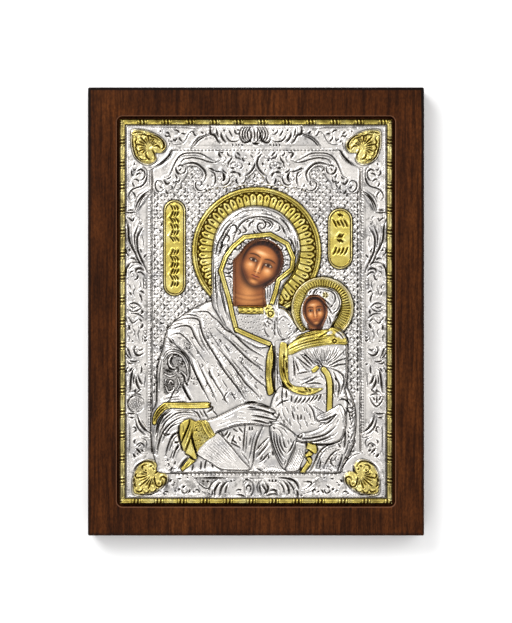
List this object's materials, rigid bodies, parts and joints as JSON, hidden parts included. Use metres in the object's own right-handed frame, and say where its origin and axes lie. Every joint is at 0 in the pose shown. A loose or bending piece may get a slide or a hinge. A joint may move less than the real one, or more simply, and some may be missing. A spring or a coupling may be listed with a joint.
{
  "type": "silver icon",
  "caption": "Devotional panel: a lacquered board whose recess holds a chased silver cover with gilded edging, corner hearts and haloes, and openings that show painted faces",
  "frame": {"origin": "centre of the board's back face", "axes": "+Z out of the icon's face, +Y to its top edge, +X to the viewer's right; the icon lies on its back"},
  "size_m": [0.18, 0.24, 0.0219],
  "materials": {
    "lacquered_wood": "dark red-brown stain under a satin lacquer",
    "painted_faces": "warm ochre flesh paint under a dull varnish",
    "parcel_gilt_silver": "polished silver with dark oxide in the hollows, partly gilded"
  },
  "bodies": {
    "root": {"wooden_board": "lacquered_wood", "painted_panel": "painted_faces", "silver_cover": "parcel_gilt_silver"}
  },
  "joints": []
}
